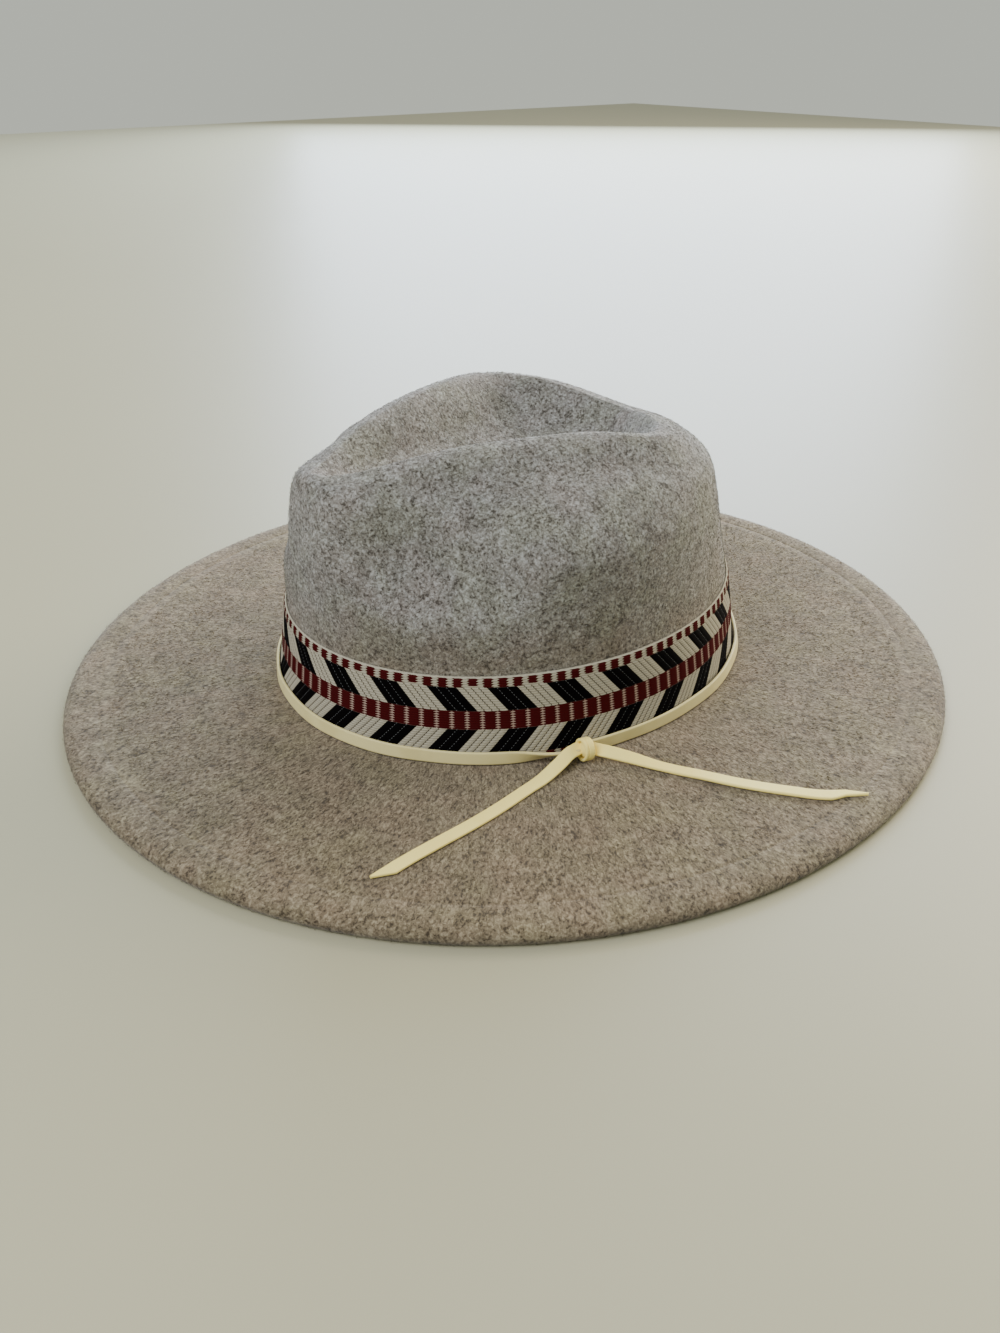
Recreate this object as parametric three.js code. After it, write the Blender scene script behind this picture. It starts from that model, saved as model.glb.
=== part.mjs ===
// Rancher hat: wool felt, a woven band and a knotted lace.
// Millimetres. The origin is on the table under the middle of the brim. +Z is up,
// -Y is the wearer's front and +X the wearer's left.
import * as THREE from 'three';

// Driving sizes of the felt
const POINTS_AROUND = 64;
const FELT_THICKNESS = 2.4;
const BRIM_HALF_LENGTH = 188.5;
const BRIM_HALF_WIDTH = 178;
const EDGE_RADIUS = 2.7;
const BRIM_TOP = 2 * EDGE_RADIUS;
const WELT_WIDTH = 13.5;
const GROOVE_HALF_WIDTH = 1.3;
const GROOVE_DEPTH = 0.45;
const BREAK_RADIUS = 1.2;

// Where the loops of the brim lie: round its edge and its turn up into the crown, in degrees,
// and as shares of the way over the flat and up the seat of the band
const EDGE_DEGREES = [-90, -60, -30, 0, 30, 60, 90];
const TURN_DEGREES = [0, 45];
const FLAT_SHARES = [0.25, 0.5, 0.75, 0.95];
const SEAT_SHARES = [0, 0.5];

// The oval of the crown where it leaves the brim, and where the band ends
const BAND_SEAT = { bottom: 6.4, top: 39.2 };
const CROWN_FOOT = { halfWidth: 89, halfLength: 101.8, height: BRIM_TOP + BREAK_RADIUS };
const CROWN_BASE = { halfWidth: 82.5, halfLength: 97.3, height: 40 };

// Crest of the crown, the rounded ridge that rings the teardrop, and the point of the valley line
// that the teardrop falls to from there. One row for every 30 degrees from the front to the back,
// over the wearer's left side. The right side mirrors it.
const CREST = [
  { across: 0, along: -91, height: 101.5, valleyAlong: -66, valleyHeight: 96 },
  { across: 10, along: -80, height: 102, valleyAlong: -54, valleyHeight: 93.5 },
  { across: 26, along: -47, height: 108.5, valleyAlong: -30, valleyHeight: 88.5 },
  { across: 43, along: -3, height: 109.5, valleyAlong: 0, valleyHeight: 84.5 },
  { across: 53, along: 27.5, height: 106, valleyAlong: 20, valleyHeight: 84 },
  { across: 33, along: 46, height: 104, valleyAlong: 32, valleyHeight: 85.5 },
  { across: 0, along: 57, height: 99, valleyAlong: 37, valleyHeight: 87 },
];

// Crown wall: rise is the share of the way up to the crest. Each lean is the share of the way
// in to it, at the very front, over the sides and at the back. Press is the share of the front
// pinch's depth.
const WALL = [
  { rise: 0, noseLean: 0, sideLean: 0, backLean: 0, press: 0 },
  { rise: 0.26, noseLean: 0, sideLean: 0, backLean: 0.14, press: 0.05 },
  { rise: 0.41, noseLean: 0.01, sideLean: 0, backLean: 0.21, press: 0.6 },
  { rise: 0.57, noseLean: 0.05, sideLean: 0.03, backLean: 0.28, press: 1 },
  { rise: 0.75, noseLean: 0.2, sideLean: 0.28, backLean: 0.36, press: 0.78 },
  { rise: 0.88, noseLean: 0.37, sideLean: 0.68, backLean: 0.6, press: 0.34 },
  { rise: 0.97, noseLean: 0.65, sideLean: 0.86, backLean: 0.84, press: 0.05 },
  { rise: 1, noseLean: 1, sideLean: 1, backLean: 1, press: 0 },
];
const NOSE = { full: 15, gone: 50 };
const BACK = { starts: 50, full: 165 };

// Teardrop dent: toward is the share of the way in to the valley line, sink the share of its depth.
const TEARDROP = [
  { toward: 0.09, sink: 0.03 },
  { toward: 0.23, sink: 0.27 },
  { toward: 0.4, sink: 0.66 },
  { toward: 0.65, sink: 0.93 },
  { toward: 1, sink: 1 },
];
const CROWN_STATIONS = 26;
const INSIDE_STRIDE = 2;

// Front pinch: one dent pressed into each side of the crown, even over its middle angles
const PINCH = { depth: 13, angle: 38, evenAngle: 6, halfAngle: 30 };

// Band and lace
const CLEARANCE = 0.3;
const BAND_THICKNESS = 1.1;
const LACE = { width: 5, thickness: 1.2, cornerShare: 0.6 };
const LACE_POINTS_AROUND = 80;
const KNOT = { angle: 70, gapAngle: 1.8, length: 5, depth: 9.8, height: 9, sides: 14 };

// Outline of the knot's two wraps: out is the share of its radius, along the share of its length
const KNOT_OUTLINE = [
  { out: 0, along: -0.5 },
  { out: 0.62, along: -0.5 },
  { out: 0.92, along: -0.36 },
  { out: 0.98, along: -0.2 },
  { out: 0.86, along: -0.03 },
  { out: 1, along: 0.14 },
  { out: 0.98, along: 0.32 },
  { out: 0.66, along: 0.5 },
  { out: 0, along: 0.5 },
];

// Centre line of each loose lace end, from the knot to its cut tip, laid on the brim
const LACE_REST = BRIM_TOP + CLEARANCE + LACE.thickness / 2;
const FRONT_LACE_ROUTE = [
  [87.6, -40.2, 10.4],
  [88.1, -43.9, 10.4],
  [89.1, -49.6, 8.8],
  [90.0, -57.5, 6.8],
  [90.8, -65.0, LACE_REST],
  [91.8, -71.5, LACE_REST],
  [92.8, -78.0, LACE_REST],
  [93.6, -84.5, LACE_REST],
  [94.2, -91.0, LACE_REST],
  [94.6, -97.5, LACE_REST],
  [94.9, -104.0, LACE_REST],
  [95.2, -110.5, LACE_REST],
  [95.6, -117.0, LACE_REST],
  [96.2, -123.5, LACE_REST],
  [97.0, -129.5, LACE_REST],
];
const BACK_LACE_ROUTE = [
  [91.6, -32.5, 9.4],
  [95.2, -30.4, 9.4],
  [101.8, -25.0, 8.0],
  [108.9, -20.1, 6.8],
  [115.8, -15.5, LACE_REST],
  [122.0, -11.5, LACE_REST],
  [128.0, -7.9, LACE_REST],
  [133.9, -4.3, LACE_REST],
  [139.3, -0.6, LACE_REST],
  [144.6, 3.3, LACE_REST],
  [149.6, 7.3, LACE_REST],
  [154.4, 11.1, LACE_REST],
  [158.6, 15.4, LACE_REST],
  [161.9, 20.0, LACE_REST],
];
const LACE_STEPS = 10;

// Finishes
const FELT_MATERIAL = new THREE.MeshStandardMaterial({ color: 0x99918a, roughness: 0.95, metalness: 0 });
const BAND_MATERIAL = new THREE.MeshStandardMaterial({ color: 0x5b4641, roughness: 0.85, metalness: 0 });
const LACE_MATERIAL = new THREE.MeshStandardMaterial({ color: 0xe2d9b4, roughness: 0.6, metalness: 0 });

// A value that grows evenly from one end of a range to the other
function between(start, end, share) {
  return start + (end - start) * share;
}

// A body skinned over loops of points. A ring of loops closes on itself. Otherwise a flat end
// is closed to a middle point, and a loop that has shrunk to a line needs no closing.
function skin(loops, { ring = false, middles = [] } = {}) {
  const count = loops[0].length;
  const rows = ring ? loops.length : loops.length - 1;
  const faces = [];
  for (let row = 0; row < rows; row += 1) {
    const low = row * count;
    const high = ((row + 1) % loops.length) * count;
    for (let i = 0; i < count; i += 1) {
      const next = (i + 1) % count;
      faces.push(low + i, low + next, high + next);
      faces.push(low + i, high + next, high + i);
    }
  }
  if (middles.length === 2) {
    const first = loops.length * count;
    const last = (loops.length - 1) * count;
    for (let i = 0; i < count; i += 1) {
      const next = (i + 1) % count;
      faces.push(first, next, i);
      faces.push(first + 1, last + i, last + next);
    }
  }
  const geometry = new THREE.BufferGeometry().setFromPoints([...loops.flat(), ...middles]);
  geometry.setIndex(faces);
  geometry.computeVertexNormals();
  return geometry;
}

// A point of an oval, at an angle from the front over the wearer's left side
function ovalPoint(halfWidth, halfLength, height, degrees) {
  const angle = THREE.MathUtils.degToRad(degrees);
  return new THREE.Vector3(halfWidth * Math.sin(angle), -halfLength * Math.cos(angle), height);
}

// Points all round an oval
function oval(halfWidth, halfLength, height) {
  return Array.from({ length: POINTS_AROUND }, (_, i) => (
    ovalPoint(halfWidth, halfLength, height, (360 * i) / POINTS_AROUND)
  ));
}

// An oval let in from the outside of the brim
function brimOval(inset, height) {
  return oval(BRIM_HALF_WIDTH - inset, BRIM_HALF_LENGTH - inset, height);
}

// The crown's half axes within the band's height
function seatSize(height) {
  const share = (height - CROWN_FOOT.height) / (CROWN_BASE.height - CROWN_FOOT.height);
  return {
    halfWidth: between(CROWN_FOOT.halfWidth, CROWN_BASE.halfWidth, share),
    halfLength: between(CROWN_FOOT.halfLength, CROWN_BASE.halfLength, share),
  };
}

// An oval round the crown within the band's height
function seatOval(height, offset = 0) {
  const { halfWidth, halfLength } = seatSize(height);
  return oval(halfWidth + offset, halfLength + offset, height);
}

// A closed curve through points of the left side and their mirror images on the right
function mirroredCurve(left) {
  const right = left.slice(1, -1).reverse().map((point) => new THREE.Vector3(-point.x, point.y, point.z));
  return new THREE.CatmullRomCurve3([...left, ...right], true, 'catmullrom');
}

const crestLine = mirroredCurve(CREST.map(({ across, along, height }) => (
  new THREE.Vector3(across, along, height)
)));
const valleyLine = mirroredCurve(CREST.map(({ valleyAlong, valleyHeight }) => (
  new THREE.Vector3(0, valleyAlong, valleyHeight)
)));

// Share of the front pinch at an angle from the front
function pinchShare(fromFront) {
  const fromMiddle = Math.abs(fromFront - PINCH.angle);
  return 1 - THREE.MathUtils.smoothstep(fromMiddle, PINCH.evenAngle, PINCH.halfAngle);
}

// Profile of the crown at one angle: up the wall, over the crest and down to the valley line
function crownProfile(index) {
  const share = index / POINTS_AROUND;
  const angle = 2 * Math.PI * share;
  const fromFront = Math.min(360 * share, 360 * (1 - share));
  const top = crestLine.getPoint(share);
  const valley = valleyLine.getPoint(share);
  const { halfWidth, halfLength, height } = CROWN_BASE;
  const foot = new THREE.Vector3(halfWidth * Math.sin(angle), -halfLength * Math.cos(angle), height);
  const outward = new THREE.Vector3(
    halfLength * Math.sin(angle), -halfWidth * Math.cos(angle), 0,
  ).normalize();
  const nose = 1 - THREE.MathUtils.smoothstep(fromFront, NOSE.full, NOSE.gone);
  const back = THREE.MathUtils.smoothstep(fromFront, BACK.starts, BACK.full);
  const pinch = PINCH.depth * pinchShare(fromFront);
  const wall = WALL.map(({ rise, noseLean, sideLean, backLean, press }) => {
    const lean = between(between(sideLean, backLean, back), noseLean, nose);
    const point = foot.clone().lerp(top, lean);
    point.z = between(foot.z, top.z, rise);
    return point.addScaledVector(outward, -pinch * press);
  });
  const dent = TEARDROP.map(({ toward, sink }) => {
    const point = top.clone().lerp(valley, toward);
    point.z = between(top.z, valley.z, sink);
    return point;
  });
  return new THREE.CatmullRomCurve3([...wall, ...dent], false, 'catmullrom');
}

// Loops of the crown from the top of the band to the valley line
function crownLoops() {
  const profiles = Array.from({ length: POINTS_AROUND }, (_, i) => crownProfile(i));
  return Array.from({ length: CROWN_STATIONS + 1 }, (_, station) => (
    profiles.map((profile) => profile.getPoint(station / CROWN_STATIONS))
  ));
}

// The same loops moved in by the felt's thickness. The valley line moves straight down.
function insideOf(loops) {
  const normals = skin(loops).getAttribute('normal');
  const count = loops[0].length;
  return loops.map((loop, row) => loop.map((point, i) => {
    const normal = row === loops.length - 1
      ? new THREE.Vector3(0, 0, 1)
      : new THREE.Vector3().fromBufferAttribute(normals, row * count + i);
    return point.clone().addScaledVector(normal, -FELT_THICKNESS);
  }));
}

// Crown and brim: one felt body, hollow, with its edge folded under and stitched down
function feltBody() {
  const edge = EDGE_DEGREES.map((degrees) => {
    const angle = THREE.MathUtils.degToRad(degrees);
    return brimOval(EDGE_RADIUS * (1 - Math.cos(angle)), EDGE_RADIUS * (1 + Math.sin(angle)));
  });
  const groove = [
    brimOval(WELT_WIDTH - GROOVE_HALF_WIDTH, BRIM_TOP),
    brimOval(WELT_WIDTH, BRIM_TOP - GROOVE_DEPTH),
    brimOval(WELT_WIDTH + GROOVE_HALF_WIDTH, BRIM_TOP),
  ];
  const flat = FLAT_SHARES.map((share) => oval(
    between(BRIM_HALF_WIDTH - WELT_WIDTH, CROWN_FOOT.halfWidth, share),
    between(BRIM_HALF_LENGTH - WELT_WIDTH, CROWN_FOOT.halfLength, share),
    BRIM_TOP,
  ));
  const turn = TURN_DEGREES.map((degrees) => {
    const angle = THREE.MathUtils.degToRad(degrees);
    const reach = BREAK_RADIUS * (1 - Math.sin(angle));
    const height = BRIM_TOP + BREAK_RADIUS * (1 - Math.cos(angle));
    return oval(CROWN_FOOT.halfWidth + reach, CROWN_FOOT.halfLength + reach, height);
  });
  const seat = SEAT_SHARES.map((share) => (
    seatOval(between(CROWN_FOOT.height, CROWN_BASE.height, share))
  ));
  const plain = [...flat, ...turn, ...seat];
  const outside = [...plain, ...crownLoops()];
  const inside = insideOf(outside).filter((_, row) => (
    row < plain.length || row % INSIDE_STRIDE === 0
  ));
  const underside = BRIM_TOP - FELT_THICKNESS;
  const welt = [brimOval(WELT_WIDTH + GROOVE_HALF_WIDTH, underside), brimOval(WELT_WIDTH, 0)];
  return skin([...inside.reverse(), ...welt, ...edge, ...groove, ...outside]);
}

// Woven band: one closed strip that follows the crown's seat
function wovenBand() {
  const section = [
    { height: BAND_SEAT.bottom, offset: CLEARANCE },
    { height: BAND_SEAT.bottom, offset: CLEARANCE + BAND_THICKNESS },
    { height: BAND_SEAT.top, offset: CLEARANCE + BAND_THICKNESS },
    { height: BAND_SEAT.top, offset: CLEARANCE },
  ];
  return skin(section.map(({ height, offset }) => seatOval(height, offset)), { ring: true });
}

// Lace round the foot of the band: one strip on edge, open at the knot
function laceLoop() {
  const foot = BRIM_TOP + CLEARANCE;
  const inner = 2 * CLEARANCE + BAND_THICKNESS;
  const outer = inner + LACE.thickness;
  const corners = [
    { height: foot + LACE.width, offset: inner },
    { height: foot + LACE.width, offset: outer },
    { height: foot, offset: outer },
    { height: foot, offset: inner },
  ];
  const step = (360 - 2 * KNOT.gapAngle) / (LACE_POINTS_AROUND - 1);
  const sections = Array.from({ length: LACE_POINTS_AROUND }, (_, i) => (
    corners.map(({ height, offset }) => {
      const { halfWidth, halfLength } = seatSize(height);
      const degrees = KNOT.angle + KNOT.gapAngle + i * step;
      return ovalPoint(halfWidth + offset, halfLength + offset, height, degrees);
    })
  ));
  const middles = [sections[0], sections.at(-1)].map((section) => (
    section.reduce((sum, point) => sum.add(point), new THREE.Vector3()).divideScalar(section.length)
  ));
  return skin(sections, { middles });
}

// Knot: a small barrel of two wraps that lies along the band
function laceKnot() {
  const radius = KNOT.height / 2;
  const points = KNOT_OUTLINE.map(({ out, along }) => (
    new THREE.Vector2(out * radius, along * KNOT.length)
  ));
  return new THREE.LatheGeometry(points, KNOT.sides);
}

// One loose end of the lace: a flat strip with rounded edges along its route
function laceEnd(route) {
  const path = new THREE.CatmullRomCurve3(route.map((point) => new THREE.Vector3(...point)));
  const halfThickness = LACE.thickness / 2;
  const halfWidth = LACE.width / 2;
  const shoulder = halfWidth - halfThickness * LACE.cornerShare;
  const waist = halfThickness * (1 - LACE.cornerShare);
  const section = new THREE.Shape([
    new THREE.Vector2(halfThickness, -shoulder),
    new THREE.Vector2(halfThickness, shoulder),
    new THREE.Vector2(waist, halfWidth),
    new THREE.Vector2(-waist, halfWidth),
    new THREE.Vector2(-halfThickness, shoulder),
    new THREE.Vector2(-halfThickness, -shoulder),
    new THREE.Vector2(-waist, -halfWidth),
    new THREE.Vector2(waist, -halfWidth),
  ]);
  return new THREE.ExtrudeGeometry(section, { steps: LACE_STEPS, extrudePath: path });
}

// A named piece of the hat
function piece(name, geometry, material) {
  const mesh = new THREE.Mesh(geometry, material);
  mesh.name = name;
  return mesh;
}

// The knot stands against the band, with its length along it
function placeKnot(knot) {
  const angle = THREE.MathUtils.degToRad(KNOT.angle);
  const outward = new THREE.Vector3(
    CROWN_FOOT.halfLength * Math.sin(angle), -CROWN_FOOT.halfWidth * Math.cos(angle), 0,
  ).normalize();
  const height = BRIM_TOP + CLEARANCE + KNOT.height / 2;
  const { halfWidth, halfLength } = seatSize(height);
  knot.position.copy(ovalPoint(halfWidth, halfLength, height, KNOT.angle));
  knot.position.addScaledVector(outward, 2 * CLEARANCE + BAND_THICKNESS + KNOT.depth / 2);
  knot.rotation.z = Math.atan2(outward.y, outward.x);
  knot.scale.x = KNOT.depth / KNOT.height;
  return knot;
}

const hat = new THREE.Group();
hat.add(piece('felt_body', feltBody(), FELT_MATERIAL));
hat.add(piece('woven_band', wovenBand(), BAND_MATERIAL));
hat.add(piece('lace_loop', laceLoop(), LACE_MATERIAL));
hat.add(placeKnot(piece('lace_knot', laceKnot(), LACE_MATERIAL)));
hat.add(piece('lace_end_front', laceEnd(FRONT_LACE_ROUTE), LACE_MATERIAL));
hat.add(piece('lace_end_back', laceEnd(BACK_LACE_ROUTE), LACE_MATERIAL));

export default hat;
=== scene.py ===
"""Rancher hat: heathered wool felt, a woven chevron band and a flat lace tied round it.

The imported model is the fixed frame: metres, -Y to the wearer's front, +X to the wearer's left,
+Z up. Sizes below are millimetres unless a name says otherwise, as on a hatter's drawing, and
MM turns them into metres when a mesh is made.
"""
import sys
import logging
import math
from dataclasses import dataclass
from enum import Enum
from typing import NamedTuple

import bpy
import numpy as np
from mathutils import Matrix, Vector


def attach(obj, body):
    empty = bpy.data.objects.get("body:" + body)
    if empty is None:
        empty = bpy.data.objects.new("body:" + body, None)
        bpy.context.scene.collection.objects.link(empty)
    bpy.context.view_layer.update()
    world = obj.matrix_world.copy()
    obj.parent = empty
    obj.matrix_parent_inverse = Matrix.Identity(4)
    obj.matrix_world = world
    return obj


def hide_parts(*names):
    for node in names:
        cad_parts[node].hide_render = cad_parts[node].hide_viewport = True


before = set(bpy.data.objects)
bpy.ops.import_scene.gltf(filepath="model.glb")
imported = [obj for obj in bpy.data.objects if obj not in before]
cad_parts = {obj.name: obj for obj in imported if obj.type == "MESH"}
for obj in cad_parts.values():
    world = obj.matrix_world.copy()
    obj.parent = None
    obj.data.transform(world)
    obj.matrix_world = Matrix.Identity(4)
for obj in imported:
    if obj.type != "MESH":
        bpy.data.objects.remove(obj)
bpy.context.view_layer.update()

LOG = logging.getLogger("rancher_hat")
MM = 0.001
UP = np.array((0.0, 0.0, 1.0))
Colour = tuple[float, float, float]
Place = tuple[float, float, float]
Span = tuple[float, float]


class Slot(Enum):
    """Material slots of the record."""

    FELT = "felt"
    BAND = "band"
    LACE = "lace"


class Side(Enum):
    """Side of a flat strip, seen along its run."""

    LEFT = 1
    RIGHT = -1


# Curves and skins

def smooth_step(value: np.ndarray, start: float, end: float) -> np.ndarray:
    """Share from 0 to 1 that eases in at start and out at end."""
    share = np.clip((value - start) / (end - start), 0.0, 1.0)
    return share * share * (3.0 - 2.0 * share)


def between(start: float, end: float, share: float) -> float:
    """Value that grows evenly from start to end."""
    return start + (end - start) * share


def unit(vectors: np.ndarray) -> np.ndarray:
    """The same directions, one unit long."""
    return vectors / np.maximum(np.linalg.norm(vectors, axis=-1, keepdims=True), 1e-9)


def run_lengths(line: np.ndarray) -> np.ndarray:
    """Length along a line from its start to each of its points."""
    return np.concatenate([[0.0], np.cumsum(np.linalg.norm(np.diff(line, axis=0), axis=1))])


def spline_piece(a: np.ndarray, b: np.ndarray, c: np.ndarray, d: np.ndarray,
                 share: np.ndarray) -> np.ndarray:
    """Point on the stretch from b to c of a smooth curve through a, b, c and d.

    Args:
        a: Point before the stretch.
        b: Its start.
        c: Its end.
        d: Point after it.
        share: Places along it, from 0 to 1.

    Returns:
        One point for each place.
    """
    start, end = (c - a) / 2, (d - b) / 2
    cubic = (2 * b - 2 * c + start + end) * share**3
    return cubic + (-3 * b + 3 * c - 2 * start - end) * share**2 + start * share + b


def closed_curve(points: np.ndarray, shares: np.ndarray) -> np.ndarray:
    """Points on a closed smooth curve.

    Args:
        points: What the curve runs through, one row each.
        shares: Places along the curve, from 0 to 1.

    Returns:
        One row for each share.
    """
    count = len(points)
    place = np.mod(shares, 1.0) * count
    index = np.floor(place).astype(int)
    near = [points[(index + step) % count] for step in (-1, 0, 1, 2)]
    return spline_piece(*near, (place - index)[:, None])


def open_curve(points: np.ndarray, shares: np.ndarray) -> np.ndarray:
    """Points on an open smooth curve, or on a bundle of them side by side.

    Args:
        points: What the curve runs through, along the first axis.
        shares: Places along the curve, from 0 to 1.

    Returns:
        One entry for each share, along the first axis.
    """
    count = len(points)
    padded = np.concatenate([[2 * points[0] - points[1]], points, [2 * points[-1] - points[-2]]])
    place = np.asarray(shares) * (count - 1)
    index = np.minimum(np.floor(place).astype(int), count - 2)
    share = (place - index).reshape((-1,) + (1,) * (points.ndim - 1))
    near = [padded[index + step] for step in (0, 1, 2, 3)]
    return spline_piece(*near, share)


def grid_normals(loops: np.ndarray) -> np.ndarray:
    """Outward normals of a skin over closed loops.

    Args:
        loops: Points as (loop, place in the loop, xyz).

    Returns:
        Unit normals in the same layout.
    """
    around = np.roll(loops, -1, axis=1) - np.roll(loops, 1, axis=1)
    return unit(np.cross(around, np.gradient(loops, axis=0)))


def skin_faces(rows: int, count: int, ring: bool) -> np.ndarray:
    """Four-sided faces over loops of points.

    Args:
        rows: Number of loops.
        count: Points in each loop.
        ring: Whether the last loop joins the first.

    Returns:
        Vertex numbers, one face a row.
    """
    last = rows if ring else rows - 1
    row, place = np.meshgrid(np.arange(last), np.arange(count), indexing="ij")
    low, high = row * count, ((row + 1) % rows) * count
    after = (place + 1) % count
    faces = np.stack([low + place, low + after, high + after, high + place], axis=-1)
    return faces.reshape(-1, 4)


def deselect() -> None:
    """Deselect every object, the frame's own nodes too."""
    bpy.ops.object.select_all(action="DESELECT")


def pick(piece: bpy.types.Object) -> bpy.types.Object:
    """Make one object the only selected and the active one.

    Args:
        piece: The object.

    Returns:
        The same object.
    """
    deselect()
    piece.select_set(True)
    bpy.context.view_layer.objects.active = piece
    return piece


def tidy_shell(piece: bpy.types.Object, smooth_degrees: float = 180.0,
               turn_out: bool = True) -> bpy.types.Object:
    """Merge a closed shell's doubles, turn its faces out and smooth it.

    Args:
        piece: The shell.
        smooth_degrees: Edges sharper than this stay sharp.
        turn_out: Whether the faces are turned outwards again.

    Returns:
        The same object.
    """
    pick(piece)
    bpy.ops.object.mode_set(mode="EDIT")
    bpy.ops.mesh.select_all(action="SELECT")
    bpy.ops.mesh.remove_doubles(threshold=1e-6)
    if turn_out:
        bpy.ops.mesh.normals_make_consistent(inside=False)
    bpy.ops.object.mode_set(mode="OBJECT")
    if smooth_degrees >= 180.0:
        bpy.ops.object.shade_smooth()
    else:
        bpy.ops.object.shade_smooth_by_angle(angle=math.radians(smooth_degrees))
    deselect()
    return piece


def linked(name: str, mesh: bpy.types.Mesh) -> bpy.types.Object:
    """Put a mesh in the scene as an object.

    Args:
        name: The object's name.
        mesh: The mesh.

    Returns:
        The object.
    """
    piece = bpy.data.objects.new(name, mesh)
    bpy.context.collection.objects.link(piece)
    return piece


def loop_mesh(name: str, loops: np.ndarray, faces: list[list[int]]) -> bpy.types.Mesh:
    """Make a mesh in metres from loops of points in millimetres.

    Args:
        name: The mesh's name.
        loops: Points as (loop, place in the loop, xyz).
        faces: Vertex numbers of each face.

    Returns:
        The mesh.
    """
    mesh = bpy.data.meshes.new(name)
    mesh.from_pydata((loops.reshape(-1, 3) * MM).tolist(), [], faces)
    return mesh


def skin(name: str, loops: np.ndarray, ring: bool = False, caps: bool = False,
         smooth_degrees: float = 180.0, turn_out: bool = True) -> bpy.types.Object:
    """Make a closed piece from loops of points.

    Args:
        name: The piece's name.
        loops: Points in millimetres as (loop, place in the loop, xyz).
        ring: Whether the last loop joins the first.
        caps: Whether each end is closed with a face.
        smooth_degrees: Edges sharper than this stay sharp.
        turn_out: Whether the faces are turned outwards afterwards.

    Returns:
        The new object.
    """
    rows, count = loops.shape[:2]
    faces = skin_faces(rows, count, ring).tolist()
    if caps:
        faces.append(list(range(count))[::-1])
        faces.append(list(range((rows - 1) * count, rows * count)))
    return tidy_shell(linked(name, loop_mesh(name, loops, faces)), smooth_degrees, turn_out)


def strip_rings(path: np.ndarray, across: np.ndarray, face: np.ndarray,
                half_width: np.ndarray, half_thickness: float) -> np.ndarray:
    """Rings of a flat strip with rounded edges.

    Args:
        path: Middle of the strip.
        across: Unit direction of its width at each point.
        face: Unit direction of its face at each point.
        half_width: Half its width at each point.
        half_thickness: Half its thickness.

    Returns:
        Eighteen points a ring as (ring, place, xyz).
    """
    upper = [(-0.3, 1.0), (0.25, 1.0), (0.66, 0.84), (0.93, 0.5)]
    corner = [*upper, (1.0, 0.0), *[(out, -up) for out, up in reversed(upper)]]
    flat = np.maximum(half_width - half_thickness, 0.0)
    rings = []
    for hand in (1.0, -1.0):
        for out, up in corner:
            side = np.maximum(flat + out * np.minimum(half_thickness, half_width), 0.04)
            rings.append(path + across * (hand * side)[:, None]
                         + face * (hand * up * half_thickness))
    return np.stack(rings, axis=1)


def hand_over(piece: bpy.types.Object, slot: Slot, material: bpy.types.Material,
              *nodes: str) -> bpy.types.Object:
    """Dress a finished piece and fix it to the hat.

    Args:
        piece: The finished piece.
        slot: The record's slot for its finish; not used.
        material: Its material.
        nodes: The frame's nodes that it stands for.

    Returns:
        The same object.
    """
    piece.data.materials.clear()
    piece.data.materials.append(material)
    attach(piece, "root")
    if nodes:
        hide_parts(*nodes)
    LOG.info("%s: %d faces", piece.name, len(piece.data.polygons))
    return piece


# Finishes

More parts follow.
